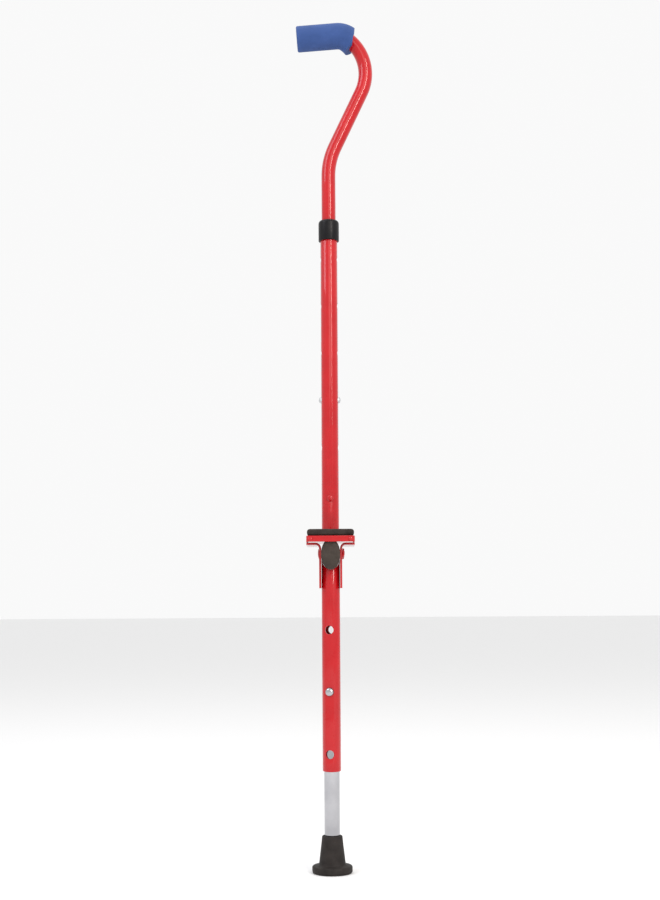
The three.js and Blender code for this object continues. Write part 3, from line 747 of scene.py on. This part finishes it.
def make_spigot_rivet():
    face = TUBE_RADIUS + GAP
    head = [(4.2, face), (4.1, face + 0.35), (3.5, face + 0.85)]
    head += [(2.4, face + 1.3), (1.2, face + 1.53), (0, face + 1.6)]
    foot = [(radius, -z) for radius, z in reversed(head)]
    rivet = turned("spigot_rivet_heads", foot + [(2.7, -face), (2.7, face)] + head, SMALL_ROUND)
    moved(rivet, Matrix.Rotation(math.pi / 2, 4, "X"))
    shifted(rivet, 0, POLE_Y, SPIGOT_RIVET_Z)
    soften(rivet, 0.1, 2, 40)
    finish_piece(rivet, "red", "frame", "red_paint", "spigot_rivet")


def make_pole_bolt():
    low, high = box_mm("pole_bolt")
    head = 5.5
    hexagon = turned("pole_hex_bolt", [(0, low.z), (7.5, low.z), (7.5, low.z + head), (0, low.z + head)], 6)
    chamfer = [(0, low.z - 1), (6.4, low.z - 1), (6.4, low.z)]
    chamfer += [(7.6, low.z + 1), (7.6, low.z + head + 1), (0, low.z + head + 1)]
    boolean(hexagon, [turned("tool", chamfer, SMALL_ROUND)], "INTERSECT")
    boolean(hexagon, [rod(4, low.z + head - 1, high.z)], "UNION")
    shifted(hexagon, 0, POLE_Y, 0)
    soften(hexagon, 0.25, 2)
    finish_piece(hexagon, "zinc", "frame", "steel", "pole_bolt")


def make_collar():
    low = collar_low.z
    top = collar_high.z
    outer = collar_high.x
    bore = TUBE_RADIUS + GAP
    lip = INNER_RADIUS + 0.4
    profile = [(bore + 0.4, low), (outer - 0.7, low), (outer - 0.2, low + 0.3)]
    profile += [(outer, low + 0.9), (outer, top - 4.4)]
    for step in range(1, 11):
        angle = step / 10 * math.pi / 2
        profile.append((outer - 2.6 * (1 - math.cos(angle)), top - 4.4 + 4.4 * math.sin(angle)))
    profile += [(lip + 0.3, top), (lip, top - 0.3), (lip, top - 3)]
    profile += [(10.8, top - 3.2), (bore, top - 7.4), (bore, low + 0.4)]
    collar = turned("collar_moulding", profile, closed=True)
    shifted(collar, 0, POLE_Y, 0)
    soften(collar, 0, 0)
    finish_piece(collar, "collar", "collar", "black_plastic", "lock_collar")


# ---- Handle ------------------------------------------------------------------------------

def handle_route(bend_steps):
    """The handle's stations, from its foot to its end inside the grip."""
    runs = [
        (0, 0, NECK_START - handle_low.z, 1),
        (NECK_RADIUS, NECK_LEAN, 0, bend_steps),
        (0, 0, NECK_LENGTH, 1),
        (SHOULDER_RADIUS, -SHOULDER_TURN, 0, 2 * bend_steps),
        (CROOK_RADIUS, -CROOK_TURN, 0, bend_steps),
    ]
    reach = stations_along(0, handle_low.z, runs)[-1][0]
    runs.append((0, 0, (reach - HANDLE_END_X) / math.cos(math.radians(GRIP_SLOPE)), 1))
    return stations_along(0, handle_low.z, runs)


def make_handle_tube():
    route = handle_route(24)
    back = list(reversed(route))
    radii = [HANDLE_RADIUS] * len(route) + [INNER_BORE] * len(back)
    tube = swept("handle_bent_tube", route + back, radii, closed=True)
    shifted(tube, 0, POLE_Y, 0)
    boolean(tube, [cross_rod("x", POLE_HOLE_RADIUS, 20, POLE_Y, HANDLE_BUTTON_Z)])
    soften(tube, 0.2, 2)
    finish_piece(tube, "red", "handle", "red_paint", "handle_tube")


def make_foam():
    """The grip: a sweep along the crook, rounded at its closed end and cut at its mouth."""
    route = handle_route(24)
    end_x, end_z, heading = route[-1]
    start = len(route) - 1 - 24 - 8

    def beyond(x):
        length = (HANDLE_END_X - x) / math.cos(math.radians(GRIP_SLOPE))
        return end_x + length * math.sin(heading), end_z + length * math.cos(heading), heading

    stations = route[start:-2]
    radii = [GRIP_RADIUS] * len(stations)
    straight = 16
    last_x = route[-2][0]
    corner = 2.2
    for step in range(straight + 1):
        x = last_x + (GRIP_END_X + corner - last_x) * step / straight
        stations.append(beyond(x))
        radii.append(GRIP_RADIUS)
    for step in range(1, 9):
        angle = step / 8 * math.pi / 2
        stations.append(beyond(GRIP_END_X + corner * (1 - math.sin(angle))))
        radii.append(GRIP_RADIUS - corner * (1 - math.cos(angle)))
    stations.append(beyond(GRIP_END_X))
    radii.append(GRIP_RADIUS - corner - 4)
    foam = swept("grip_foam", stations, radii)
    hole = route[start - 6:-1] + [beyond(HANDLE_END_X - 2)]
    bore = swept("tool", hole, [INNER_RADIUS + 0.08] * len(hole))
    crown = max(z for _, z, _ in route)
    trim = prism("tool", [(0, -40), (60, -40), (60, 40), (0, 40)], -60, 60)
    moved(trim, Matrix.Rotation(math.radians(GRIP_MOUTH_LEAN), 4, "Y"))
    shifted(trim, GRIP_MOUTH_X, 0, crown - 3)
    boolean(foam, [trim, bore])
    shifted(foam, 0, POLE_Y, 0)
    soften(foam, 1.5, 4, 48)
    finish_piece(foam, "foam", "handle", "blue_foam", "foam_grip")


# ---- Hidden pieces that stay as they are -------------------------------------------------

KEPT_LOOKS = {
    "tip_washer": "zinc",
    "leg_guide_bushing": "nylon",
    "leg_snap_spring": "zinc",
    "beam_spacer": "zinc",
    "front_platform_screw": "zinc",
    "rear_platform_screw": "zinc",
    "pole_spigot": "zinc",
    "split_bushing": "nylon",
    "handle_end_plug": "collar",
    "handle_snap_spring": "zinc",
}


# ---- Stage -------------------------------------------------------------------------------

def make_camera():
    """The eye is low and close, and looks up a little."""
    picture_height = 900
    focal_pixels = 1309.3
    camera = bpy.data.cameras.new("camera")
    camera.sensor_fit = "VERTICAL"
    camera.sensor_height = 24
    camera.lens = camera.sensor_height * focal_pixels / picture_height
    camera.clip_end = 100
    holder = bpy.data.objects.new("camera", camera)
    bpy.context.scene.collection.objects.link(holder)
    place = Matrix.Translation(Vector((0.0, -1.6, 0.3079)))
    pitch = Matrix.Rotation(math.radians(97), 4, "X")
    roll = Matrix.Rotation(math.radians(-0.34), 4, "Z")
    holder.matrix_world = place @ pitch @ roll
    bpy.context.scene.camera = holder


def make_floor():
    """A plain pale floor, wide enough to keep its edge out of sight."""
    size = 60
    mesh = bpy.data.meshes.new("floor")
    corners = [(-size, -size, 0), (size, -size, 0), (size, size, 0), (-size, size, 0)]
    mesh.from_pydata(corners, [], [(0, 1, 2, 3)])
    floor = bpy.data.objects.new("floor", mesh)
    bpy.context.scene.collection.objects.link(floor)
    paper = bpy.data.materials.new("pale_floor")
    paper.use_nodes = True
    matte = paper.node_tree.nodes["Principled BSDF"]
    matte.inputs["Base Color"].default_value = (0.86, 0.86, 0.86, 1)
    matte.inputs["Roughness"].default_value = 0.9
    mesh.materials.append(paper)


def soft_light(name, place, target, size, power, color):
    light = bpy.data.lights.new(name, "AREA")
    light.shape = "RECTANGLE"
    light.size, light.size_y = size
    light.energy = power
    light.color = color
    holder = bpy.data.objects.new(name, light)
    bpy.context.scene.collection.objects.link(holder)
    holder.location = place
    holder.rotation_euler = (Vector(target) - Vector(place)).to_track_quat("-Z", "Y").to_euler()


def make_lights():
    middle = (0, 0.07, 0.75)
    warm = (1.0, 0.93, 0.86)
    cool = (0.86, 0.89, 1.0)
    soft_light("front_right", (1.25, -2.1, 1.65), middle, (0.38, 1.5), 28, warm)
    soft_light("front_middle", (0.25, -2.4, 1.65), middle, (0.9, 1.5), 7, warm)
    soft_light("left_high", (-1.75, -0.95, 2.1), middle, (1.1, 1.1), 14, cool)
    soft_light("overhead", (0.0, 0.3, 3.0), middle, (2.0, 2.0), 15, (1.0, 1.0, 1.0))


def make_world():
    """An even, near-white room."""
    world = bpy.data.worlds.new("studio")
    world.use_nodes = True
    room = world.node_tree.nodes["Background"]
    room.inputs["Color"].default_value = (1, 1, 1, 1)
    room.inputs["Strength"].default_value = 0.95
    bpy.context.scene.world = world
    bpy.context.scene.view_settings.view_transform = "Standard"


# ---- Making ------------------------------------------------------------------------------

make_camera()
make_floor()
make_lights()
make_world()

make_rubber_tip()
make_leg_tube()
dome_button("leg_dome_front", "leg_button_front", LEG_BUTTON, LEG_TURN, "chrome", "chrome")
dome_button("leg_dome_back", "leg_button_back", LEG_BUTTON, LEG_TURN + math.pi, "chrome", "chrome")
make_leg_sleeve()
make_beam()
make_plug("front_oval_plug", "beam_front_plug", beam_low.y, 1)
make_plug("rear_oval_plug", "beam_rear_plug", beam_high.y, -1)
for side in (-1, 1):
    make_gusset(side)
    make_rim_rivet(side)
make_plate()
make_pad()
for prefix, y in BRACKET_BOLT_YS.items():
    make_bracket_fasteners(prefix, y)
make_pole()
make_spigot_rivet()
make_pole_bolt()
make_collar()
make_handle_tube()
make_foam()
for end, heading in {"left": -math.pi / 2, "right": math.pi / 2}.items():
    node = f"handle_button_{end}"
    dome_button(f"handle_dome_{end}", node, HANDLE_BUTTON, heading, "zinc", "steel")
for node, look in KEPT_LOOKS.items():
    paint(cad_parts[node], look)
